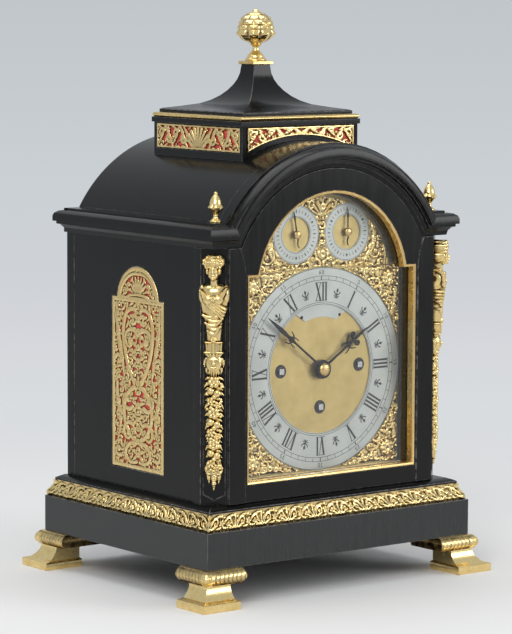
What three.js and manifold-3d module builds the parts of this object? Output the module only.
// Ebonised and gilt-mounted bracket clock. Millimetres, +Z up, the front faces -Y,
// the origin lies on the floor under the middle of the plinth.
import * as THREE from "three";
import { mergeVertices } from "three/addons/utils/BufferGeometryUtils.js";
import Module from "manifold-3d";

const wasm = await Module();
wasm.setup();

// ---- Clearances ----
const fitGap = 0.3;
const mitreGap = 0.3;
const swingGap = 0.4;
const boreGap = 0.3;
const toothGap = 0.5;

// ---- Plinth and feet ----
const plinthStepSide = 12.3;
const plinthStepFront = 12.5;
const plinthStepBack = 10;
const plinthHeight = 38.5;
const plinthWall = 24;
const footHeight = 39.5;
const footPlateHeight = 8.5;
const footPlateReach = 18;
const footPlateWidth = 47;
const footNeckReach = 3;
const footNeckWidth = 30;
const footRimReach = 8.6;
const footRimWidth = 54;
const footRimHeight = 15;

// ---- Base board and its gilt moulding ----
const baseStepSide = 6.5;
const baseStepFront = 5;
const baseStepBack = 2;
const baseTopStep = 1.5;
const giltHeight = 17.3;
const giltReach = 8.4;
const giltTopReach = 3.2;
const baseMouldReach = 3.5;
const baseMouldHeight = 5.7;

// ---- Case body ----
const bodyHalfWidth = 158.5;
const bodyFront = 130.5;
const bodyBack = 136;
const cantLeg = 20.3;
const postRebate = 10.3;
const postDepth = 14;
const postPanelWidth = 22.5;
const postPanelDepth = 2;
const postPanelMargin = 11;
const postPanelTopMargin = 14;
const postPanelPoint = 6;
const sideSet = 3;
const sideThickness = 12;
const backThickness = 13.7;

// ---- Front door ----
const doorThickness = 18;
const doorArchGap = 0.6;
const stileWidth = 22.2;
const stileFlare = 8;
const stileFlareHeight = 28;
const stileProud = 1.2;
const sightStep = 24.6;
const sightRise = 18.7;
const sightSquareLoss = 9.6;
const sightHeadHeight = 28.7;
const sightArchStep = 11.6;
const sightArchDrop = 48;
const bezelWidth = 3;
const bezelBottomWidth = 3.2;
const bezelDepth = 8.8;
const bezelProud = 0.6;
const bezelSlope = 1.2;
const glassThickness = 2;

// ---- Cornice, arch and vault ----
const corniceSet = 1;
const corniceBackStep = 0.5;
const corniceCavettoHeight = 9;
const corniceCavettoReach = 7;
const corniceFilletHeight = 3;
const corniceTipReach = 10;
const corniceTipHeight = 5.5;
const corniceHeight = 26;
const corniceTopSet = 1.5;
const corniceDepth = 30.5;
const corniceStrip = 1;
const archDrop = 56;
const archStep = 4.2;
const vaultSet = 0.4;
const vaultThickness = 10;
const vaultOverhang = 4;

// ---- Cupola ----
const cupolaHalf = 78;
const cupolaCentre = 4;
const cupolaRise = 21.4;
const cupolaWall = 7;
const cupolaFretDrop = 6.5;
const cupolaBandHeight = 5.5;
const cupolaBandReach = 2;
const cupolaSideFretMargin = 4.5;
const cupolaFrontFretMargin = 9;
const cupolaFretRise = 9.9;
const cupolaSideFretRise = 8.8;
const cupolaRimHeight = 5;
const cupolaRimReach = 1.8;
const capSet = 4;
const capFlat = 4.4;
const capHeight = 52;
const capTopHalf = 11;
const capPlateHalf = 13.3;
const capPlateThickness = 3.6;

// ---- Finials ----
const finialRadius = 20.6;
const finialHeight = 55.8;
const cornerFinialRadius = 8;
const cornerFinialHeight = 31.5;
const cornerFinialInsetX = 13.5;
const cornerFinialInsetY = 13.5;

// ---- Frets ----
const fretThickness = 1.5;
const fretSet = 0.4;
const fretBorder = 5;
const sideFretHalf = 46.4;
const sideFretCentre = 4.7;
const sideFretFoot = 20.8;
const sideFretShoulderDrop = 62;
const sideFretArchStep = 8.7;
const sideFretArchDrop = 3.5;

// ---- Term figures ----
const termTopMargin = 3;
const termFootMargin = 13;
const termShoulderHalf = 14.8;
const termRelief = 15;

// ---- Dial ----
const dialCentreRise = 1.5;
const dialSet = 22.5;
const dialThickness = 2;
const dialMargin = 3.4;
const maskThickness = 3.9;
const maskStep = 5;
const maskArchStep = 4.5;
const maskArchMargin = 5;
const chapterMargin = 0.8;
const chapterInnerShare = 0.6327;
const chapterThickness = 1.5;
const spandrelThickness = 1.6;
const subRingShare = 0.3149;
const subRingGap = 7.2;
const subRingMargin = 1.4;
const subRingWidth = 12.2;
const subHandLength = 24;
const subHandTail = 13;
const subHandTilt = 12;
const subBossRadius = 4.5;
const plaqueDepth = 12.5;
const plaqueHalfAngle = 29;
const plaqueEndSlant = 7;
const handThickness = 1.2;
const minuteHandLength = 95;
const minuteHandAngle = 51.6;
const hourHandLength = 73;
const hourHandAngle = -56.5;
const hourHandReach = 4.9;
const minuteHandReach = 7.7;
const handBossRadius = 9;
const handBossHeight = 3;

// ---- Movement ----
const frameFoot = 34;
const frameRise = 95;
const frameSideGap = 33;
const frameSet = 24;
const frameBack = 8;
const framePlate = 3;
const framePillarRadius = 5;
const framePillarInset = 10;
const seatThickness = 10;
const seatSideGap = 15.5;
const seatLeg = 10;
const windingShare = 0.7771;
const windingRise = 1;
const goingShare = 0.5938;
const windingSquare = 6;
const windingReach = 2.5;
const windingHoleRadius = 6.5;
const fuseeSmallRadius = 12;
const fuseeStep = 4;
const fuseeLength = 42;
const greatWheelShare = 0.4105;
const greatWheelThickness = 4;
const arborRadius = 3;
const centreArborRadius = 2;
const centreWheelShare = 0.494;
const motionDistance = 24;
const motionAngle = 135;
const cannonTeeth = 12;
const minuteWheelTeeth = 36;
const minutePinionTeeth = 8;
const hourWheelTeeth = 32;
const motionWheelThickness = 2.5;
const pipeWall = 1.8;
const pendulumPivotDrop = 7;
const pendulumFoot = 37;
const pendulumBobRadius = 22;
const pendulumBobThickness = 14;
const pendulumY = 6.5;
const pendulumEye = 5;
const pendulumPin = 1.5;
const bellCount = 8;
const bellEndGap = 13;
const bellLargeRadius = 34;
const bellSmallRadius = 22;
const bellWall = 1.5;
const bellRise = 41;
const bellArmWidth = 4;

// ---- Back door ----
const backDoorSideMargin = 24.4;
const backDoorFoot = 21.4;
const backDoorHeadMargin = 14.4;
const backDoorRail = 16;
const knobRadius = 5;
const knobReach = 10;

// ---- Facets ----
const archSteps = 22;
const roundSteps = 24;
const smallSteps = 14;

// ---- Heights and places that follow from the sizes above ----
const baseHalfWidth = bodyHalfWidth + baseStepSide;
const baseFront = bodyFront + baseStepFront;
const baseBack = bodyBack + baseStepBack;
const plinthHalfWidth = baseHalfWidth + plinthStepSide;
const plinthFront = baseFront + plinthStepFront;
const plinthBack = baseBack + plinthStepBack;
const plinthTop = footHeight + plinthHeight;
const giltTop = plinthTop + giltHeight;
const postInnerX = bodyHalfWidth - cantLeg;
const sightHalfWidth = postInnerX - sightStep;
const sightHeight = sightHalfWidth * 2 - sightSquareLoss;
const bodyBottom = giltTop + baseMouldHeight;
const bodyTop = bodyBottom + sightRise + sightHeight + sightHeadHeight;
const sightBottom = bodyBottom + sightRise;
const sightShoulder = sightBottom + sightHeight;
const sightArchRadius = sightHalfWidth - sightArchStep;
const sightArchCentre = bodyTop - sightArchDrop;
const corniceHalfWidth = bodyHalfWidth - corniceSet;
const corniceFront = bodyFront - corniceSet;
const corniceBack = bodyBack + corniceBackStep;
const corniceInner = bodyHalfWidth - corniceDepth;
const corniceTop = bodyTop + corniceHeight;
const archCentre = bodyTop - archDrop;
const archRadius = postInnerX - archStep;
const vaultRadius = archRadius + corniceHeight - vaultSet;
const stileInner = postInnerX - stileWidth;
const doorBack = bodyFront - doorThickness;
const doorHalf = postInnerX - swingGap;
const sideOuter = bodyHalfWidth - sideSet;
const sideInner = sideOuter - sideThickness;
const sideFrontEdge = doorBack - postDepth;
const backInner = bodyBack - backThickness;
const backDoorHalf = corniceInner - backDoorSideMargin;
const backDoorBottom = bodyBottom + backDoorFoot;
const backDoorTop = bodyTop - backDoorHeadMargin;
const dialCentre = sightBottom + sightHeight / 2 + dialCentreRise;
const dialFront = bodyFront - dialSet;
const maskHalfWidth = sightHalfWidth - maskStep;
const maskArchRadius = sightArchRadius - maskArchStep;
const maskBack = dialFront + fitGap;
const chapterRadius = maskHalfWidth - chapterMargin;
const chapterInner = chapterRadius * chapterInnerShare;
const subRingRadius = maskArchRadius * subRingShare;
const subRingX = subRingRadius + subRingGap / 2;
const subRingReach = maskArchRadius - subRingRadius - subRingMargin;
const subRingZ = sightArchCentre + Math.sqrt(subRingReach ** 2 - subRingX ** 2);
const subRingInner = subRingRadius - subRingWidth;
const hourHandFront = dialFront + hourHandReach;
const minuteHandFront = dialFront + minuteHandReach;
const windingX = chapterInner * windingShare;
const windingZ = dialCentre + windingRise;
const goingDrop = chapterInner * goingShare;
const goingZ = dialCentre - goingDrop;
const windingTip = dialFront + windingReach;
const greatWheelRadius = chapterInner * greatWheelShare;
const fuseeLargeRadius = greatWheelRadius - fuseeStep;
const centreWheelRadius = goingDrop * centreWheelShare;
const seatHalfWidth = sideInner - seatSideGap;
const frameHalfWidth = seatHalfWidth - frameSideGap;
const frameBottom = bodyBottom + frameFoot;
const frameTop = dialCentre + frameRise;
const frameFront = dialFront - frameSet;
const pendulumPivotZ = frameTop - pendulumPivotDrop;
const pendulumLength = pendulumPivotZ - bodyBottom - pendulumFoot;
const bellY = (frameFront + frameBack) / 2;
const bellZ = frameTop + bellRise;
const bellPitch = (2 * (frameHalfWidth - framePillarInset - bellEndGap)) / bellCount;
const cupolaTop = archCentre + vaultRadius + cupolaRise;
const cupolaFretTop = cupolaTop - cupolaFretDrop;
const cupolaFretHalf = cupolaHalf - cupolaSideFretMargin;
const cupolaFrontFretHalf = cupolaHalf - cupolaFrontFretMargin;
const cupolaSideFretBottom = archCentre + Math.sqrt(vaultRadius ** 2 - cupolaHalf ** 2) + cupolaSideFretRise;
const capHalf = cupolaHalf - capSet;
const sideFretBottom = bodyBottom + sideFretFoot;
const sideFretShoulder = bodyTop - sideFretShoulderDrop;
const sideFretArchRadius = sideFretHalf - sideFretArchStep;
const sideFretArchCentre = sideFretShoulder - sideFretArchDrop;
const termTop = bodyTop - termTopMargin;
const termHeight = termTop - bodyBottom - termFootMargin;
const capBottom = cupolaTop + cupolaRimHeight;
const capTop = capBottom + capHeight;

const axisX = new THREE.Vector3(1, 0, 0);
const axisY = new THREE.Vector3(0, 1, 0);
const axisZ = new THREE.Vector3(0, 0, 1);
const radians = THREE.MathUtils.degToRad;
const at = (x, y, z) => new THREE.Vector3(x, y, z);

// ---- Builders of closed solids ----

function signedVolume(positions, triangles) {
  let sum = 0;
  for (const [i, j, k] of triangles) {
    sum += positions[i].dot(at(0, 0, 0).crossVectors(positions[j], positions[k]));
  }
  return sum / 6;
}

function solid(positions, triangles) {
  const outward = signedVolume(positions, triangles) > 0;
  const index = triangles.flatMap(([i, j, k]) => (outward ? [i, j, k] : [i, k, j]));
  const geometry = new THREE.BufferGeometry();
  const values = positions.flatMap((p) => [p.x, p.y, p.z]);
  geometry.setAttribute("position", new THREE.Float32BufferAttribute(values, 3));
  geometry.setIndex(index);
  return geometry;
}

function stitch(triangles, start, count, nextStart, nextCount) {
  const steps = Math.max(count, nextCount);
  for (let k = 0; k < steps; k++) {
    const a = start + (k % count);
    const b = start + ((k + 1) % count);
    const c = nextStart + (k % nextCount);
    const d = nextStart + ((k + 1) % nextCount);
    if (count > 1) triangles.push([a, b, d]);
    if (nextCount > 1) triangles.push([a, d, c]);
  }
}

function capTriangles(outline) {
  const flat = outline.map(([x, y]) => new THREE.Vector2(x, y));
  return THREE.ShapeUtils.triangulateShape(flat, []);
}

// Joins rings of points into one skin. A ring of one point is a pole. A closed loft runs
// back to its first ring; an open one is capped on its end rings.
function loft(rings, { closed = false, outline = null } = {}) {
  const positions = rings.flat();
  const starts = [];
  let total = 0;
  for (const ring of rings) {
    starts.push(total);
    total += ring.length;
  }
  const triangles = [];
  const spans = closed ? rings.length : rings.length - 1;
  for (let k = 0; k < spans; k++) {
    const next = (k + 1) % rings.length;
    stitch(triangles, starts[k], rings[k].length, starts[next], rings[next].length);
  }
  if (!closed) {
    const last = rings.length - 1;
    const corners = Math.max(rings[last].length, rings[0].length);
    const fan = Array.from({ length: corners - 2 }, (_, k) => [0, k + 1, k + 2]);
    const cap = outline ? capTriangles(outline) : fan;
    if (rings[0].length > 1) addCap(triangles, cap);
    if (rings[last].length > 1) addCap(triangles, cap.map((corner) => corner.map((v) => v + starts[last])));
  }
  return solid(positions, triangles);
}

// Winds a cap so that it meets each edge of the skin the other way round.
function addCap(triangles, cap) {
  const edges = ([i, j, k]) => [`${i},${j}`, `${j},${k}`, `${k},${i}`];
  const used = new Set(triangles.flatMap(edges));
  const clash = cap.some((triangle) => edges(triangle).some((edge) => used.has(edge)));
  cap.forEach(([i, j, k]) => triangles.push(clash ? [i, k, j] : [i, j, k]));
}

function circleRing(radius, z, steps) {
  if (radius === 0) return [at(0, 0, z)];
  return Array.from({ length: steps }, (_, k) => {
    const angle = (2 * Math.PI * k) / steps;
    return at(radius * Math.cos(angle), radius * Math.sin(angle), z);
  });
}

// Turned about Z from a profile of [radius, height], bottom to top.
function turned(profile, steps = roundSteps) {
  return loft(profile.map(([radius, z]) => circleRing(radius, z, steps)));
}

function extruded(outline, depth, holes = []) {
  const shape = new THREE.Shape(outline.map(([x, y]) => new THREE.Vector2(x, y)));
  shape.holes = holes.map((hole) => new THREE.Path(hole.map(([x, y]) => new THREE.Vector2(x, y))));
  const geometry = new THREE.ExtrudeGeometry(shape, { depth, bevelEnabled: false });
  geometry.deleteAttribute("uv");
  geometry.deleteAttribute("normal");
  return mergeVertices(geometry, 1e-4);
}

// Drawn in X and Z and reaching from y = back to y = front, which is the smaller.
function frontSlab(outline, front, back, holes = []) {
  const geometry = extruded(outline, back - front, holes);
  geometry.applyMatrix4(new THREE.Matrix4().makeBasis(axisX, axisZ, at(0, -1, 0)));
  return geometry.translate(0, back, 0);
}

// Drawn in Y and Z and reaching from x = from to x = to, which is the larger.
function sideSlab(outline, from, to, holes = []) {
  const geometry = extruded(outline, to - from, holes);
  geometry.applyMatrix4(new THREE.Matrix4().makeBasis(axisY, axisZ, axisX));
  return geometry.translate(from, 0, 0);
}

// Drawn in X and Y and reaching from z = bottom to z = top.
function planSlab(outline, bottom, top, holes = []) {
  return extruded(outline, top - bottom, holes).translate(0, 0, bottom);
}

function block(x0, x1, y0, y1, z0, z1) {
  return planSlab(rectangle(x0, x1, y0, y1), z0, z1);
}

function rectangle(x0, x1, y0, y1) {
  return [[x0, y0], [x1, y0], [x1, y1], [x0, y1]];
}

function circle(radius, x = 0, y = 0, steps = roundSteps) {
  return circleRing(radius, 0, steps).map((p) => [p.x + x, p.y + y]);
}

function toManifold(geometry) {
  const merged = mergeVertices(geometry, 1e-4);
  const vertProperties = Float32Array.from(merged.attributes.position.array);
  const triVerts = Uint32Array.from(merged.index.array);
  return new wasm.Manifold(new wasm.Mesh({ numProp: 3, vertProperties, triVerts }));
}

function fromManifold(manifold) {
  const mesh = manifold.getMesh();
  const geometry = new THREE.BufferGeometry();
  geometry.setAttribute("position", new THREE.Float32BufferAttribute(mesh.vertProperties, 3));
  geometry.setIndex(Array.from(mesh.triVerts));
  return geometry;
}

function combined(base, { add = [], cut = [] }) {
  let result = toManifold(base);
  for (const piece of add) result = result.add(toManifold(piece));
  for (const piece of cut) result = result.subtract(toManifold(piece));
  return fromManifold(result);
}

// The same body on the other side of the middle plane.
function mirrored(geometry) {
  const copy = geometry.clone();
  copy.applyMatrix4(new THREE.Matrix4().makeScale(-1, 1, 1));
  const index = Array.from(copy.index.array);
  for (let k = 0; k < index.length; k += 3) {
    [index[k + 1], index[k + 2]] = [index[k + 2], index[k + 1]];
  }
  copy.setIndex(index);
  return copy;
}

function pointForward(geometry, x, y, z) {
  geometry.applyMatrix4(new THREE.Matrix4().makeBasis(axisX, axisZ, at(0, -1, 0)));
  return geometry.translate(x, y, z);
}

function arcPoints(radius, centreX, centreY, from, to, steps) {
  return Array.from({ length: steps + 1 }, (_, k) => {
    const angle = from + ((to - from) * k) / steps;
    return [centreX + radius * Math.cos(angle), centreY + radius * Math.sin(angle)];
  });
}

// A rectangle with a narrower round arch on top.
function breakArch({ half, bottom, shoulder, radius, centre, x = 0 }) {
  const foot = Math.asin((shoulder - centre) / radius);
  const arch = arcPoints(radius, x, centre, foot, Math.PI - foot, archSteps);
  return [[x - half, bottom], [x + half, bottom], [x + half, shoulder], ...arch, [x - half, shoulder]];
}

function inset(spec, by, bottomBy = by) {
  const changed = { half: spec.half - by, bottom: spec.bottom + bottomBy };
  return { ...spec, ...changed, shoulder: spec.shoulder - by, radius: spec.radius - by };
}

// A moulding that runs all the way round a rectangle. The profile is a closed loop of
// [reach, z], the reach measured outwards from the rectangle.
function mouldingRing(profile, half, front, back) {
  const corners = [[-1, -1], [1, -1], [1, 1], [-1, 1]];
  const rings = corners.map(([sideX, sideY]) =>
    profile.map(([reach, z]) => {
      const depth = sideY < 0 ? front + reach : back + reach;
      return at(sideX * (half + reach), sideY * depth, z);
    }),
  );
  return loft(rings, { closed: true });
}

// Rectangles of [half width, front, back, z] stacked into one solid.
function stackedRectangles(levels) {
  const rings = levels.map(([half, front, back, z]) => [
    at(-half, -front, z), at(half, -front, z), at(half, back, z), at(-half, back, z),
  ]);
  return loft(rings);
}

// ---- Plinth, feet and base ----

function plinthFrame() {
  const plan = (wall) => {
    const half = plinthHalfWidth - wall;
    return rectangle(-half, half, -(plinthFront - wall), plinthBack - wall);
  };
  return planSlab(plan(0), footHeight, plinthTop, [plan(plinthWall)]);
}

// A square cast foot: an ovolo rim, a concave neck and a plate that splays beyond the plinth.
function foot(sideX, sideY) {
  const rimBottom = footHeight - footRimHeight;
  const neckSpan = rimBottom - footPlateHeight;
  const stepReach = (footPlateReach - footNeckReach) * 0.55;
  const levels = [[0, footPlateReach, footPlateWidth]];
  levels.push([footPlateHeight, footPlateReach, footPlateWidth]);
  for (const [share, spread] of [[0.02, 1.35], [0.2, 1.2], [0.3, 1], [0.42, 0.5], [0.6, 0.16], [0.84, 0]]) {
    const reach = footNeckReach + stepReach * spread;
    levels.push([footPlateHeight + neckSpan * share, reach, footNeckWidth + reach - footNeckReach]);
  }
  levels.push([rimBottom, footRimReach - 3, footRimWidth - 9]);
  levels.push([rimBottom + footRimHeight * 0.2, footRimReach - 1, footRimWidth - 1.5]);
  levels.push([rimBottom + footRimHeight * 0.5, footRimReach, footRimWidth]);
  levels.push([rimBottom + footRimHeight * 0.8, footRimReach - 2, footRimWidth - 2.5]);
  levels.push([footHeight, footRimReach - 5.5, footRimWidth - 7]);
  const rings = levels.map(([z, reach, width]) => {
    const outerX = plinthHalfWidth + reach;
    const outerY = (sideY < 0 ? plinthFront : plinthBack) + reach;
    const corners = [[outerX - width, outerY - width], [outerX, outerY - width]];
    corners.push([outerX, outerY], [outerX - width, outerY]);
    return corners.map(([x, y]) => at(sideX * x, sideY * y, z));
  });
  return loft(rings);
}

function baseBoard() {
  const levels = [
    [0, plinthTop],
    [0, giltTop],
    [baseMouldReach, giltTop],
    [baseMouldReach, giltTop + baseMouldHeight * 0.4],
    [0, giltTop + baseMouldHeight * 0.7],
  ].map(([reach, z]) => [baseHalfWidth + reach, baseFront + reach, baseBack + reach, z]);
  levels.push([bodyHalfWidth + baseTopStep, bodyFront, bodyBack, bodyBottom]);
  return stackedRectangles(levels);
}

// The cast gilt moulding that lies on the plinth round the base board.
function giltMoulding() {
  const levels = [[0, 1], [0.12, 1.08], [0.32, 1.0], [0.52, 0.62], [0.74, 0.36], [0.94, 0.36], [1, 0.3]];
  const profile = levels.map(([height, share]) => {
    const reach = share > 0.3 ? giltReach * share : giltTopReach;
    return [reach, plinthTop + giltHeight * height];
  });
  profile.unshift([fitGap, plinthTop]);
  profile.push([fitGap, giltTop]);
  return mouldingRing(profile, baseHalfWidth, baseFront, baseBack);
}

// ---- Case body ----

function leftPostOutline() {
  const cantBack = -(bodyFront - cantLeg);
  return [
    [-bodyHalfWidth, cantBack],
    [-postInnerX, -bodyFront],
    [-postInnerX, -doorBack],
    [-(postInnerX - postRebate), -doorBack],
    [-(postInnerX - postRebate), -sideFrontEdge],
    [-bodyHalfWidth, -sideFrontEdge],
  ];
}

// Moves a body built about the origin, facing -Y, onto the left canted face.
function ontoCant(geometry, z = 0) {
  geometry.rotateZ(-Math.PI / 4);
  return geometry.translate(-(bodyHalfWidth - cantLeg / 2), -(bodyFront - cantLeg / 2), z);
}

function leftPost() {
  const half = postPanelWidth / 2;
  const low = bodyBottom + postPanelMargin - postPanelPoint;
  const outline = [
    [0, low],
    [half, low + postPanelPoint],
    [half, bodyTop - postPanelTopMargin],
    [-half, bodyTop - postPanelTopMargin],
    [-half, low + postPanelPoint],
  ];
  const panel = ontoCant(frontSlab(outline, -postPanelDepth, postPanelDepth));
  return combined(planSlab(leftPostOutline(), bodyBottom, bodyTop), { cut: [panel] });
}

const sideFretShape = {
  half: sideFretHalf,
  bottom: sideFretBottom,
  shoulder: sideFretShoulder,
  radius: sideFretArchRadius,
  centre: sideFretArchCentre,
  x: sideFretCentre,
};

function leftSidePanel() {
  const outline = rectangle(-(sideFrontEdge - fitGap), backInner - fitGap, bodyBottom, bodyTop);
  const aperture = breakArch(inset(sideFretShape, -fitGap));
  return sideSlab(outline, -sideOuter, -sideInner, [aperture]);
}

function backFrame() {
  const innerHalf = corniceInner - fitGap - 4;
  const radius = vaultRadius - vaultThickness - fitGap;
  const foot = Math.acos(innerHalf / radius);
  const outline = [
    [-sideOuter, bodyBottom], [sideOuter, bodyBottom], [sideOuter, bodyTop - fitGap],
    [innerHalf, bodyTop - fitGap],
    ...arcPoints(radius, 0, archCentre, foot, Math.PI - foot, archSteps),
    [-innerHalf, bodyTop - fitGap], [-sideOuter, bodyTop - fitGap],
  ];
  const half = backDoorHalf + swingGap;
  const opening = rectangle(-half, half, backDoorBottom - swingGap, backDoorTop + swingGap);
  return frontSlab(outline, backInner, bodyBack, [opening]);
}

function backDoor() {
  const outline = rectangle(-backDoorHalf, backDoorHalf, backDoorBottom, backDoorTop);
  const door = frontSlab(outline, backInner, bodyBack, [backDoorSight(0)]);
  const knob = turned([[0, 0], [2.5, 0], [2.5, 4], [knobRadius, 7], [knobRadius, 9], [0, knobReach]], smallSteps);
  knob.rotateX(-Math.PI / 2);
  const x = -(backDoorHalf - backDoorRail / 2);
  knob.translate(x, bodyBack - 0.5, (backDoorBottom + backDoorTop) / 2);
  return combined(door, { add: [knob] });
}

function backDoorSight(by) {
  const half = backDoorHalf - backDoorRail - by;
  return rectangle(-half, half, backDoorBottom + backDoorRail + by, backDoorTop - backDoorRail - by);
}

function backDoorGlass() {
  const middle = (backInner + bodyBack) / 2;
  return frontSlab(backDoorSight(fitGap), middle - glassThickness / 2, middle + glassThickness / 2);
}

// ---- Front door ----

const sightShape = {
  half: sightHalfWidth,
  bottom: sightBottom,
  shoulder: sightShoulder,
  radius: sightArchRadius,
  centre: sightArchCentre,
};

function frontDoor() {
  const head = {
    half: doorHalf,
    bottom: bodyBottom + swingGap,
    shoulder: bodyTop - swingGap,
    radius: archRadius - doorArchGap,
    centre: archCentre,
  };
  const base = frontSlab(breakArch(head), -bodyFront, -doorBack, [breakArch(sightShape)]);
  const flareStart = head.shoulder - stileFlareHeight;
  const stile = [
    [stileInner, head.bottom],
    [doorHalf, head.bottom],
    [doorHalf, head.shoulder],
    [stileInner + stileFlare, head.shoulder],
    [stileInner + stileFlare * 0.3, head.shoulder - stileFlareHeight * 0.5],
    [stileInner, flareStart],
  ];
  const right = frontSlab(stile, -(bodyFront + stileProud), -(bodyFront - stileProud));
  return combined(base, { add: [right, mirrored(right)] });
}

function sightRing(by, bottomBy, y) {
  return breakArch(inset(sightShape, by, bottomBy)).map(([x, z]) => at(x, -y, z));
}

function frontDoorBezel() {
  const face = bodyFront + bezelProud;
  const back = bodyFront - bezelDepth;
  const low = bezelBottomWidth / bezelWidth;
  const rings = [
    sightRing(fitGap, fitGap, back),
    sightRing(fitGap, fitGap, face),
    sightRing(bezelWidth * 0.2, bezelWidth * low * 0.2, face),
    sightRing(bezelWidth * 0.6, bezelWidth * low * 0.6, face - bezelSlope * 0.3),
    sightRing(bezelWidth, bezelBottomWidth, face - bezelSlope),
    sightRing(bezelWidth, bezelBottomWidth, back),
  ];
  return loft(rings, { closed: true });
}

function frontDoorGlass() {
  const back = -(bodyFront - bezelDepth - fitGap - glassThickness);
  return frontSlab(breakArch(inset(sightShape, fitGap)), back - glassThickness, back);
}

const maskShape = {
  half: maskHalfWidth,
  bottom: dialCentre - maskHalfWidth,
  shoulder: dialCentre + maskHalfWidth,
  radius: maskArchRadius,
  centre: sightArchCentre,
};

function dialMask() {
  const outline = breakArch({
    half: postInnerX - postRebate - fitGap,
    bottom: bodyBottom,
    shoulder: bodyTop - fitGap,
    radius: archRadius + maskArchMargin,
    centre: archCentre,
  });
  return frontSlab(outline, -(maskBack + maskThickness), -maskBack, [breakArch(maskShape)]);
}

// ---- Cornice, arch moulding and vault ----

// Loop of [reach, rise, inner], from the foot of the cavetto up and back along the inside.
function corniceProfile() {
  const points = [];
  for (const share of [0, 0.35, 0.7, 1]) {
    const turn = (share * Math.PI) / 2;
    points.push([corniceCavettoReach * (1 - Math.cos(turn)), corniceCavettoHeight * Math.sin(turn), false]);
  }
  const tipBottom = corniceCavettoHeight + corniceFilletHeight;
  const tipTop = tipBottom + corniceTipHeight;
  points.push([corniceCavettoReach, tipBottom, false], [corniceTipReach, tipBottom, false]);
  const ovoloHeight = (corniceHeight - tipTop) * 0.75;
  for (const share of [0, 0.33, 0.67, 1]) {
    const turn = (share * Math.PI) / 2;
    const reach = 0.5 + (corniceTipReach - 0.5) * Math.cos(turn);
    points.push([reach, tipTop + ovoloHeight * Math.sin(turn), false]);
  }
  points.push([-corniceTopSet, tipTop + ovoloHeight, false], [-corniceTopSet, corniceHeight, false]);
  points.push([0, corniceHeight, true], [0, 0, true]);
  return points;
}

function profileOutline(profile, inner) {
  return profile.map(([reach, rise, isInner]) => [isInner ? -inner : reach, rise]);
}

// Where the arch moulding meets the level cornice: the mitre of one profile point.
function mitreX(rise) {
  return Math.sqrt((archRadius + rise) ** 2 - (archDrop + rise) ** 2);
}

function leftCornice() {
  const profile = corniceProfile();
  const corner = profile.map(([reach, rise, inner]) => {
    const x = inner ? corniceInner : corniceHalfWidth + reach;
    return at(-x, -(inner ? doorBack : corniceFront + reach), bodyTop + rise);
  });
  const backEnd = corner.map((p) => at(p.x, corniceBack - mitreGap - p.x - corniceHalfWidth, p.z));
  const archEnd = profile.map(([reach, rise, inner]) =>
    at(-(mitreX(rise) + mitreGap / 2), -(inner ? doorBack : corniceFront + reach), bodyTop + rise),
  );
  const outline = profileOutline(profile, corniceHalfWidth - corniceInner);
  const run = loft([backEnd, corner, archEnd], { outline });
  const inside = block(-(corniceHalfWidth - corniceTopSet), -corniceInner, 0, bodyBack, bodyTop, corniceTop);
  return combined(run, { add: [inside] });
}

function backCornice() {
  const strip = bodyBack + fitGap;
  const profile = corniceProfile().map(([reach, rise, inner]) => [Math.max(reach, corniceStrip), rise, inner]);
  const distinct = profile.filter(([reach, rise, inner], k) => {
    const [lastReach, lastRise, lastInner] = profile[(k + profile.length - 1) % profile.length];
    return reach !== lastReach || rise !== lastRise || inner !== lastInner;
  });
  const end = (side) => distinct.map(([reach, rise, inner]) => {
    const x = corniceHalfWidth + (inner ? 0 : reach) - mitreGap;
    return at(side * x, inner ? strip : corniceBack + reach, bodyTop + rise);
  });
  return loft([end(-1), end(1)], { outline: end(1).map((p) => [p.y, p.z]) });
}

function archMoulding() {
  const profile = corniceProfile();
  const rings = [];
  for (let k = 0; k <= archSteps; k++) {
    const ring = profile.map(([reach, rise, inner]) => {
      const radius = archRadius + rise;
      const footAngle = Math.acos((mitreX(rise) - mitreGap / 2) / radius);
      const angle = footAngle + ((Math.PI - 2 * footAngle) * k) / archSteps;
      const y = -(inner ? doorBack : corniceFront + reach);
      return at(radius * Math.cos(angle), y, archCentre + radius * Math.sin(angle));
    });
    rings.push(ring);
  }
  return loft(rings, { outline: profileOutline(profile, corniceFront - doorBack) });
}

function vault() {
  const rise = corniceTop - archCentre;
  const outerFoot = Math.asin(rise / vaultRadius);
  const innerRadius = vaultRadius - vaultThickness;
  const innerFoot = Math.asin(rise / innerRadius);
  const outer = arcPoints(vaultRadius, 0, archCentre, outerFoot, Math.PI - outerFoot, archSteps * 2);
  const inner = arcPoints(innerRadius, 0, archCentre, Math.PI - innerFoot, innerFoot, archSteps);
  return frontSlab([...outer, ...inner], -(doorBack - fitGap), bodyBack + vaultOverhang);
}

// ---- Cupola ----

function roofCylinder(radius) {
  const depth = bodyBack + vaultOverhang + cupolaHalf;
  return frontSlab(circle(radius, 0, archCentre, archSteps * 4), -depth, depth);
}

function cupolaFrontFretShape(by) {
  const half = cupolaFrontFretHalf - by;
  const radius = vaultRadius + cupolaFretRise + by;
  const from = Math.acos(-half / radius);
  const to = Math.acos(half / radius);
  const edge = arcPoints(radius, 0, archCentre, from, to, archSteps / 2);
  return [...edge, [half, cupolaFretTop - by], [-half, cupolaFretTop - by]];
}

function cupolaSideFretShape(by) {
  const half = cupolaFretHalf - by;
  return rectangle(cupolaCentre - half, cupolaCentre + half, cupolaSideFretBottom + by, cupolaFretTop - by);
}

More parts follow.
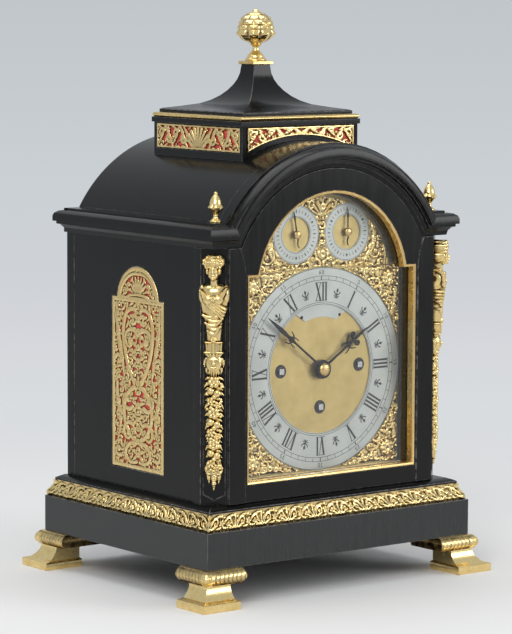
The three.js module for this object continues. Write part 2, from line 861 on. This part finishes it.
function cupolaBox() {
  const low = archCentre + Math.sqrt(vaultRadius ** 2 - cupolaHalf ** 2) - cupolaWall;
  const front = cupolaCentre - cupolaHalf;
  const back = cupolaCentre + cupolaHalf;
  const inner = cupolaHalf - cupolaWall;
  const outline = rectangle(-cupolaHalf, cupolaHalf, front, back);
  const hollow = rectangle(-inner, inner, front + cupolaWall, back - cupolaWall);
  const box = planSlab(outline, low, cupolaTop, [hollow]);
  const wide = cupolaHalf + cupolaBandReach;
  const edge = rectangle(-wide, wide, cupolaCentre - wide, cupolaCentre + wide);
  const band = planSlab(edge, cupolaTop - cupolaBandHeight, cupolaTop, [hollow]);
  const frontCut = frontSlab(cupolaFrontFretShape(-fitGap), front - cupolaWall, front + cupolaWall * 2);
  const sideCut = sideSlab(cupolaSideFretShape(-fitGap), -cupolaHalf * 2, cupolaHalf * 2);
  return combined(box, { add: [band], cut: [roofCylinder(vaultRadius + fitGap), frontCut, sideCut] });
}

function cupolaRim() {
  const top = cupolaTop + cupolaRimHeight;
  const profile = [
    [-cupolaWall, cupolaTop], [0, cupolaTop],
    [cupolaRimReach * 0.6, cupolaTop + cupolaRimHeight * 0.3],
    [cupolaRimReach, cupolaTop + cupolaRimHeight * 0.62],
    [cupolaRimReach * 0.3, top - cupolaRimHeight * 0.1],
    [-0.6, top], [-cupolaWall, top],
  ];
  return mouldingRing(profile, cupolaHalf, cupolaHalf - cupolaCentre, cupolaHalf + cupolaCentre);
}

// A square cap whose sides sweep inwards; the shares are read off its outline.
function cupolaCap() {
  const sweep = capHeight - capFlat;
  const curve = [[0, 1], [0.05, 0.76], [0.11, 0.53], [0.19, 0.39], [0.29, 0.275], [0.41, 0.18]];
  curve.push([0.54, 0.105], [0.66, 0.055], [0.8, 0.02], [1, 0]);
  const levels = [[capHalf, capBottom], [capHalf, capBottom + capFlat * 0.8]];
  for (const [height, share] of curve) {
    levels.push([capTopHalf + (capHalf - 2.5 - capTopHalf) * share, capBottom + capFlat + sweep * height]);
  }
  return stackedRectangles(levels.map(([half, z]) => [half, half - cupolaCentre, half + cupolaCentre, z]));
}

function topFinial() {
  const half = capPlateHalf;
  const plate = block(-half, half, cupolaCentre - half, cupolaCentre + half, capTop, capTop + capPlateThickness);
  const shares = [
    [0.58, 0], [0.6, 0.05], [0.4, 0.1], [0.3, 0.17], [0.21, 0.2], [0.21, 0.3], [0.45, 0.345],
    [0.86, 0.41], [0.98, 0.49], [1, 0.58], [0.95, 0.68], [0.85, 0.76], [0.68, 0.84],
    [0.55, 0.89], [0.3, 0.95], [0, 1],
  ];
  const profile = shares.map(([radius, height]) => [finialRadius * radius, finialHeight * height]);
  profile.unshift([0, -capPlateThickness / 2], [finialRadius * 0.58, -capPlateThickness / 2]);
  const urn = turned(profile, roundSteps).translate(0, cupolaCentre, capTop + capPlateThickness);
  return combined(plate, { add: [urn] });
}

function leftCornerFinial() {
  const shares = [
    [0, 0], [0.75, 0], [0.75, 0.08], [0.35, 0.16], [0.35, 0.26], [0.85, 0.38], [1, 0.55],
    [0.82, 0.68], [0.66, 0.78], [0.3, 0.92], [0, 1],
  ];
  const profile = shares.map(([radius, height]) => [cornerFinialRadius * radius, cornerFinialHeight * height]);
  const x = -(corniceHalfWidth - cornerFinialInsetX);
  return turned(profile, smallSteps).translate(x, -(corniceFront - cornerFinialInsetY), corniceTop);
}

// ---- Frets ----

function slot(x, z, length, width, turn) {
  const steps = 8;
  return Array.from({ length: steps }, (_, k) => {
    const angle = (2 * Math.PI * k) / steps;
    const along = (length / 2) * Math.cos(angle);
    const across = (width / 2) * Math.sin(angle);
    return [
      x + along * Math.cos(turn) - across * Math.sin(turn),
      z + along * Math.sin(turn) + across * Math.cos(turn),
    ];
  });
}

// Mirrored pairs of leaf-shaped slots up the middle of a fret, with a small one between.
function slotLadder(centre, bottom, top, pitch, reach, width) {
  const holes = [];
  const count = Math.floor((top - bottom) / pitch);
  const start = (top + bottom) / 2 - ((count - 1) * pitch) / 2;
  for (let k = 0; k < count; k++) {
    const z = start + k * pitch;
    for (const side of [-1, 1]) {
      const lean = (k % 2 === 0 ? 0.5 : -0.5) * side;
      holes.push(slot(centre + side * (reach * 0.5 + width * 0.25), z, reach * 0.72, width, lean));
    }
  }
  return holes;
}

function leftSideFret() {
  const holes = slotLadder(
    sideFretCentre, sideFretBottom + fretBorder, sideFretShoulder - fretBorder,
    sideFretHalf * 0.45, sideFretHalf - fretBorder, sideFretHalf * 0.22,
  );
  const face = -(sideOuter - fretSet);
  return sideSlab(breakArch(sideFretShape), face, face + fretThickness, holes);
}

function cupolaFrontFret() {
  const face = cupolaCentre - cupolaHalf + fretSet;
  const holes = [];
  const pitch = cupolaFrontFretHalf / 4.5;
  for (let k = -3; k <= 3; k++) {
    const x = k * pitch;
    const low = archCentre + Math.sqrt((vaultRadius + cupolaFretRise) ** 2 - x ** 2) + 2;
    const high = cupolaFretTop - 1.6;
    if (high - low > 3) holes.push(slot(x, (low + high) / 2, high - low, pitch * 0.55, Math.PI / 2));
  }
  return frontSlab(cupolaFrontFretShape(0), face, face + fretThickness, holes);
}

function cupolaLeftFret() {
  const face = -(cupolaHalf - fretSet);
  const middle = (cupolaSideFretBottom + cupolaFretTop) / 2;
  const span = cupolaFretTop - cupolaSideFretBottom;
  const holes = [];
  for (let k = -4; k <= 4; k++) {
    const y = cupolaCentre + (k * cupolaFretHalf) / 4.8;
    const lean = k % 2 === 0 ? 1.2 : -1.2;
    holes.push(slot(y, middle, span * 0.62, span * 0.26, lean));
  }
  return sideSlab(cupolaSideFretShape(0), face, face + fretThickness, holes);
}

// ---- Term figures on the canted posts ----

// One cross-section of the figure: half width, relief, height, and how far it stands off the post.
function termRing(half, relief, z, stand) {
  const steps = 10;
  const ring = [at(-half * 0.8, -stand, z)];
  for (let k = 0; k <= steps; k++) {
    const angle = Math.PI - (Math.PI * k) / steps;
    ring.push(at(half * Math.cos(angle), -(stand + 0.6 + (relief - 0.6) * Math.sin(angle)), z));
  }
  ring.push(at(half * 0.8, -stand, z));
  return ring;
}

function leftTerm() {
  const low = termTop - termHeight;
  const stand = postPanelDepth / 2;
  const inPanel = -(postPanelDepth - fitGap);
  const levels = [
    [0, 1.2, 1.5, inPanel], [0.02, 3.5, 3.5, inPanel], [0.09, 4.5, 4.5, inPanel],
    [0.095, 6.5, 5.5, inPanel], [0.3, 7.5, 7.0, inPanel], [0.485, 9.5, 8.5, inPanel],
    [0.5, 8.2, 10, inPanel], [0.56, 9.3, 12.5, inPanel], [0.585, 7.5, 10, inPanel],
    [0.59, 9, 11, inPanel], [0.63, 9, 11, inPanel], [0.64, 6.5, 9.0, inPanel],
    [0.68, 8, 10, inPanel], [0.76, 10.5, 12, inPanel],
    [0.8, 12.5, 13.5, stand * 3.6], [0.845, termShoulderHalf, termRelief * 0.8, stand * 3.6],
    [0.87, termShoulderHalf * 0.9, termRelief * 0.6, stand * 3.6],
    [0.885, 5, 8, stand], [0.905, 5.5, 9.5, stand], [0.925, 8.5, 12, stand],
    [0.965, 11.2, termRelief * 0.9, stand], [0.988, 9.5, 11, stand], [1, 5, 6, stand],
  ];
  const rings = levels.map(([share, half, relief, off]) => termRing(half, relief, low + termHeight * share, off));
  return ontoCant(loft(rings));
}

// ---- Dial ----

function windingPlaces() {
  return [[-windingX, windingZ], [windingX, windingZ], [0, goingZ]];
}

function dialPlate() {
  const shape = {
    half: maskShape.half + dialMargin,
    bottom: maskShape.bottom - dialMargin,
    shoulder: maskShape.shoulder + dialMargin,
    radius: maskShape.radius + dialMargin,
    centre: maskShape.centre,
  };
  const holes = windingPlaces().map(([x, z]) => circle(windingHoleRadius, x, z, smallSteps));
  holes.push(circle(pipeRadius() + boreGap, 0, dialCentre, smallSteps));
  for (const side of [-1, 1]) holes.push(circle(2 + boreGap, side * subRingX, subRingZ, 10));
  return frontSlab(breakArch(shape), -dialFront, -(dialFront - dialThickness), holes);
}

function chapterRing() {
  const outline = circle(chapterRadius, 0, dialCentre, 64);
  const hole = circle(chapterInner, 0, dialCentre, 48);
  return frontSlab(outline, -(dialFront + chapterThickness), -dialFront, [hole]);
}

// A pierced corner casting, drawn as the corner that the chapter ring leaves free.
function spandrel(sideX, sideZ) {
  const half = maskHalfWidth - 3;
  const radius = chapterRadius + fitGap;
  const reach = Math.sqrt(radius ** 2 - (half - 2) ** 2) + 6;
  const from = Math.asin(reach / radius);
  const arc = arcPoints(radius, 0, 0, from, Math.PI / 2 - from, 8);
  const [first, last] = [arc[0], arc[arc.length - 1]];
  const points = [...arc, [last[0], half], [half, half], [half, first[1]]];
  const placed = points.map(([x, z]) => [sideX * x, dialCentre + sideZ * z]);
  const outline = THREE.ShapeUtils.isClockWise(placed.map(([x, y]) => at(x, y, 0))) ? placed.reverse() : placed;
  return frontSlab(outline, -(dialFront + spandrelThickness), -dialFront);
}

// The casting that fills the arch round the two small rings.
function archMount() {
  const radius = maskArchRadius - 4;
  const foot = Math.asin((maskShape.shoulder - sightArchCentre - 2) / radius);
  const sheet = frontSlab(
    arcPoints(radius, 0, sightArchCentre, foot, Math.PI - foot, archSteps * 2),
    -(dialFront + spandrelThickness), -dialFront,
  );
  const round = (r, x, z) => frontSlab(circle(r, x, z, 48), -dialFront * 2, dialFront);
  const cut = [round(chapterRadius + fitGap * 2, 0, dialCentre)];
  for (const side of [-1, 1]) cut.push(round(subRingRadius + fitGap, side * subRingX, subRingZ));
  return combined(sheet, { cut });
}

// A curved plate under the top of the chapter ring, its ends slanted inwards.
function namePlate() {
  const radius = chapterInner - fitGap;
  const outer = radians(90 - plaqueHalfAngle);
  const inner = radians(90 - plaqueHalfAngle + plaqueEndSlant);
  const outline = [
    ...arcPoints(radius, 0, dialCentre, outer, Math.PI - outer, 12),
    ...arcPoints(radius - plaqueDepth, 0, dialCentre, Math.PI - inner, inner, 12),
  ];
  return frontSlab(outline, -(dialFront + chapterThickness / 2), -dialFront);
}

function subRing(side) {
  const x = side * subRingX;
  const hole = circle(subRingInner, x, subRingZ, roundSteps);
  return frontSlab(circle(subRingRadius, x, subRingZ, 36), -(dialFront + chapterThickness), -dialFront, [hole]);
}

// A flat hand from its tail to its tip, with a cross piece, turned to its place about the origin.
function handOutline(length, tail, eye, cross) {
  const right = [
    [1, -tail], [1.6, -tail * 0.6], [eye * 0.55, -eye * 0.8],
    [eye, 0], [eye * 0.55, eye * 0.8],
    [1.5, length * 0.24], [1.4, length * 0.44],
    [cross, length * 0.52], [cross * 0.9, length * 0.56], [2.4, length * 0.58],
    [2.8, length * 0.68], [1.3, length * 0.76], [0.4, length],
  ];
  const left = right.map(([x, y]) => [-x, y]).reverse();
  return [...right, ...left];
}

function hand(outline, boreRadius, angle, front) {
  const geometry = frontSlab(outline, 0, handThickness, [circle(boreRadius, 0, 0, smallSteps)]);
  geometry.rotateY(-radians(angle));
  return geometry.translate(0, -front, dialCentre);
}

function minuteHand() {
  const outline = handOutline(minuteHandLength, handBossRadius + 3, handBossRadius - 1.5, 6.5);
  return hand(outline, centreArborRadius + boreGap, minuteHandAngle, minuteHandFront);
}

function hourHand() {
  const outline = handOutline(hourHandLength, handBossRadius + 1, handBossRadius, 9);
  return hand(outline, pipeRadius() + boreGap, hourHandAngle, hourHandFront);
}

function subHand(side) {
  const stem = turned([
    [0, 0], [2, 0], [2, 4.5], [subBossRadius, 4.5], [subBossRadius * 0.8, 6], [0, 7.2],
  ], 12);
  pointForward(stem, 0, 0, 0);
  const outline = [[-0.6, -subHandTail], [1.6, -subHandTail], [1.5, 0], [1.1, subHandLength * 0.6]];
  outline.push([2.2, subHandLength * 0.7]);
  outline.push([0, subHandLength], [-2.2, subHandLength * 0.7], [-1.1, subHandLength * 0.6], [-1.5, 0]);
  const blade = frontSlab(outline, -4.8, -3.8);
  const piece = combined(stem, { add: [blade] });
  piece.rotateY(side < 0 ? -radians(subHandTilt) : 0);
  return piece.translate(side * subRingX, -dialFront + 1, subRingZ);
}

// ---- Movement ----

function pipeRadius() {
  return centreArborRadius + boreGap + pipeWall;
}

// A wheel of trapezoid teeth about the origin; a tooth points along the phase angle.
function toothedOutline(teeth, toothModule, phase) {
  const pitchRadius = (teeth * toothModule) / 2;
  const pitch = (2 * Math.PI) / teeth;
  const root = pitchRadius - toothModule;
  const tip = pitchRadius + toothModule * (1.2 - toothGap);
  const points = [];
  for (let k = 0; k < teeth; k++) {
    const middle = phase + k * pitch;
    for (const [radius, share] of [[root, -0.25], [tip, -0.13], [tip, 0.13], [root, 0.25]]) {
      const angle = middle + share * pitch;
      points.push([radius * Math.cos(angle), radius * Math.sin(angle)]);
    }
  }
  return points;
}

const cannonModule = (2 * motionDistance) / (cannonTeeth + minuteWheelTeeth);
const hourModule = (2 * motionDistance) / (minutePinionTeeth + hourWheelTeeth);
const cannonFront = frameFront + 5;
const hourWheelFront = cannonFront + motionWheelThickness * 2;
const studPlace = [
  motionDistance * Math.cos(radians(motionAngle)),
  motionDistance * Math.sin(radians(motionAngle)),
];

function movementFrame() {
  const half = frameHalfWidth;
  const outline = rectangle(-half, half, frameBottom, frameTop);
  const arborHoles = windingPlaces().map(([x, z]) => circle(windingSquare * 0.75, x, z, smallSteps));
  const centreHole = circle(centreArborRadius + 1, 0, dialCentre, 12);
  const front = frontSlab(outline, -frameFront, -(frameFront - framePlate), [...arborHoles, centreHole]);
  const backHoles = windingPlaces().map(([x, z]) => circle(arborRadius + boreGap, x, z, smallSteps));
  const back = frontSlab(outline, -(frameBack + framePlate), -frameBack, [...backHoles, centreHole]);
  const add = [back];
  for (const x of [-half + framePillarInset, half - framePillarInset]) {
    for (const z of [frameBottom + framePillarInset, frameTop - framePillarInset]) {
      add.push(frontSlab(circle(framePillarRadius, x, z, 12), -(frameFront - 1), -(frameBack + 1)));
    }
    const arm = bellArmWidth / 2;
    const hole = circle(pendulumPin + 1, -bellY, bellZ, 12);
    const armOutline = rectangle(-bellY - 5, -bellY + 5, frameTop - framePillarInset - 2, bellZ + 6);
    add.push(sideSlab(armOutline, x - arm, x + arm, [hole]));
  }
  const [studX, studZ] = studPlace;
  const studTip = hourWheelFront + motionWheelThickness + 1;
  add.push(frontSlab(circle(1.8, studX, dialCentre + studZ, 12), -studTip, -(frameFront - 1)));
  add.push(frontSlab(circle(pendulumPin, 0, pendulumPivotZ, 12), -(frameBack + 1), pendulumY + 6));
  return combined(front, { add });
}

function seatBoard() {
  const back = -(frameBack - 4);
  const front = -(frameFront + 11);
  const low = frameBottom - seatThickness;
  const outline = [
    [-seatHalfWidth, bodyBottom], [-seatHalfWidth + seatLeg, bodyBottom], [-seatHalfWidth + seatLeg, low],
    [seatHalfWidth - seatLeg, low], [seatHalfWidth - seatLeg, bodyBottom], [seatHalfWidth, bodyBottom],
    [seatHalfWidth, frameBottom], [-seatHalfWidth, frameBottom],
  ];
  return frontSlab(outline, front, back);
}

// A fusee on its winding arbor, with the great wheel behind it and the winding square in front.
function fusee(x, z) {
  const tail = frameBack - 3;
  const wheelBack = frameBack + framePlate + 12;
  const wheelFront = wheelBack + greatWheelThickness;
  const coneBack = wheelFront + 3;
  const coneFront = coneBack + fuseeLength;
  const profile = [[0, tail], [arborRadius, tail], [arborRadius, wheelBack], [greatWheelRadius, wheelBack]];
  profile.push([greatWheelRadius, wheelFront], [arborRadius * 2, wheelFront], [arborRadius * 2, coneBack]);
  profile.push([fuseeLargeRadius, coneBack]);
  const turns = 6;
  for (let k = 1; k <= turns; k++) {
    const share = k / turns;
    const radius = fuseeSmallRadius + (fuseeLargeRadius - fuseeSmallRadius) * (1 - share) ** 1.6;
    profile.push([radius, coneBack + fuseeLength * share]);
  }
  profile.push([arborRadius, coneFront], [arborRadius, frameFront + 2], [0, frameFront + 2]);
  const body = turned(profile, roundSteps);
  const half = windingSquare / 2;
  const square = block(-half, half, -half, half, frameFront - 2, windingTip);
  return pointForward(combined(body, { add: [square] }), x, 0, z);
}

function centreArbor() {
  const wheelBack = frameFront - 28;
  const domeBack = minuteHandFront + boreGap;
  const profile = [
    [0, frameBack - 3], [centreArborRadius, frameBack - 3], [centreArborRadius, wheelBack],
    [centreWheelRadius, wheelBack], [centreWheelRadius, wheelBack + 3], [centreArborRadius, wheelBack + 3],
    [centreArborRadius, domeBack], [handBossRadius - 2.5, domeBack],
    [handBossRadius - 4, domeBack + handBossHeight * 0.7], [0, domeBack + handBossHeight],
  ];
  const arbor = turned(profile, 20);
  const phase = radians(motionAngle);
  const pinion = planSlab(
    toothedOutline(cannonTeeth, cannonModule, phase), cannonFront - motionWheelThickness, cannonFront,
  );
  return pointForward(combined(arbor, { add: [pinion] }), 0, 0, dialCentre);
}

function minuteWheel() {
  const facing = radians(motionAngle) + Math.PI;
  const bore = circle(1.8 + boreGap, 0, 0, 12);
  const wheel = planSlab(
    toothedOutline(minuteWheelTeeth, cannonModule, facing + Math.PI / minuteWheelTeeth),
    cannonFront - motionWheelThickness, cannonFront, [bore],
  );
  const pinion = planSlab(
    toothedOutline(minutePinionTeeth, hourModule, facing),
    cannonFront - 0.5, hourWheelFront + 0.5, [bore],
  );
  const [x, z] = studPlace;
  return pointForward(combined(wheel, { add: [pinion] }), x, 0, dialCentre + z);
}

function hourWheel() {
  const inner = centreArborRadius + boreGap;
  const bore = circle(inner, 0, 0, smallSteps);
  const facing = radians(motionAngle) + Math.PI / hourWheelTeeth;
  const wheel = planSlab(
    toothedOutline(hourWheelTeeth, hourModule, facing),
    hourWheelFront - motionWheelThickness + 0.3, hourWheelFront, [bore],
  );
  const pipe = planSlab(circle(pipeRadius(), 0, 0, smallSteps), hourWheelFront - 0.5, hourHandFront + 0.4, [bore]);
  return pointForward(combined(wheel, { add: [pipe] }), 0, 0, dialCentre);
}

function pendulum() {
  const bore = circle(pendulumPin + boreGap, 0, pendulumPivotZ, 12);
  const eye = frontSlab(circle(pendulumEye, 0, pendulumPivotZ, 16), pendulumY - 1.5, pendulumY + 1.5, [bore]);
  const bobZ = pendulumPivotZ - pendulumLength;
  const rod = block(-1.5, 1.5, pendulumY - 1, pendulumY + 1, bobZ, pendulumPivotZ - pendulumEye + 1);
  const half = pendulumBobThickness / 2;
  const bob = turned([
    [0, -half], [pendulumBobRadius * 0.6, -half * 0.75], [pendulumBobRadius, 0],
    [pendulumBobRadius * 0.6, half * 0.75], [0, half],
  ], roundSteps);
  pointForward(bob, 0, pendulumY, bobZ);
  return combined(eye, { add: [rod, bob] });
}

// Graduated bells side by side on one spindle, turned as a single body.
function bellNest() {
  const spindle = pendulumPin + 0.7;
  const end = frameHalfWidth - framePillarInset + bellArmWidth;
  const profile = [[0, -end], [spindle, -end]];
  for (let k = 0; k < bellCount; k++) {
    const radius = bellSmallRadius + ((bellLargeRadius - bellSmallRadius) * k) / (bellCount - 1);
    const start = (k - (bellCount - 1) / 2) * bellPitch - bellPitch * 0.4;
    const cup = bellPitch * 0.7;
    profile.push([spindle, start], [radius * 0.3, start], [radius * 0.78, start + cup * 0.35]);
    profile.push([radius, start + cup], [radius - bellWall, start + cup]);
    profile.push([radius * 0.78 - bellWall, start + cup * 0.35 + bellWall], [radius * 0.3, start + bellWall]);
    profile.push([spindle, start + bellWall]);
  }
  profile.push([spindle, end], [0, end]);
  const nest = turned(profile, 18);
  nest.rotateY(Math.PI / 2);
  return nest.translate(0, -bellY, bellZ);
}

// ---- Assembly ----

const clock = new THREE.Group();
clock.name = "bracket_clock";

function place(name, geometry) {
  const mesh = new THREE.Mesh(geometry, new THREE.MeshStandardMaterial());
  mesh.name = name;
  clock.add(mesh);
}

place("plinth_frame", plinthFrame());
place("foot_front_left", foot(-1, -1));
place("foot_front_right", foot(1, -1));
place("foot_back_left", foot(-1, 1));
place("foot_back_right", foot(1, 1));
place("base_board", baseBoard());
place("gilt_base_moulding", giltMoulding());
place("post_left", leftPost());
place("post_right", mirrored(leftPost()));
place("side_panel_left", leftSidePanel());
place("side_panel_right", mirrored(leftSidePanel()));
place("back_frame", backFrame());
place("back_door", backDoor());
place("back_door_glass", backDoorGlass());
place("front_door", frontDoor());
place("front_door_bezel", frontDoorBezel());
place("front_door_glass", frontDoorGlass());
place("dial_mask", dialMask());
place("cornice_left", leftCornice());
place("cornice_right", mirrored(leftCornice()));
place("cornice_back", backCornice());
place("arch_moulding", archMoulding());
place("vault", vault());
place("cupola_box", cupolaBox());
place("cupola_rim", cupolaRim());
place("cupola_cap", cupolaCap());
place("top_finial", topFinial());
place("corner_finial_left", leftCornerFinial());
place("corner_finial_right", mirrored(leftCornerFinial()));
place("side_fret_left", leftSideFret());
place("side_fret_right", mirrored(leftSideFret()));
place("cupola_fret_front", cupolaFrontFret());
place("cupola_fret_left", cupolaLeftFret());
place("cupola_fret_right", mirrored(cupolaLeftFret()));
place("term_left", leftTerm());
place("term_right", mirrored(leftTerm()));
place("dial_plate", dialPlate());
place("chapter_ring", chapterRing());
place("spandrel_upper_left", spandrel(-1, 1));
place("spandrel_upper_right", spandrel(1, 1));
place("spandrel_lower_left", spandrel(-1, -1));
place("spandrel_lower_right", spandrel(1, -1));
place("arch_mount", archMount());
place("name_plate", namePlate());
place("sub_ring_left", subRing(-1));
place("sub_ring_right", subRing(1));
place("sub_hand_left", subHand(-1));
place("sub_hand_right", subHand(1));
place("minute_hand", minuteHand());
place("hour_hand", hourHand());
place("movement_frame", movementFrame());
place("seat_board", seatBoard());
place("fusee_strike", fusee(-windingX, windingZ));
place("fusee_chime", fusee(windingX, windingZ));
place("fusee_going", fusee(0, goingZ));
place("centre_arbor", centreArbor());
place("minute_wheel", minuteWheel());
place("hour_wheel", hourWheel());
place("pendulum", pendulum());
place("bell_nest", bellNest());

export default clock;
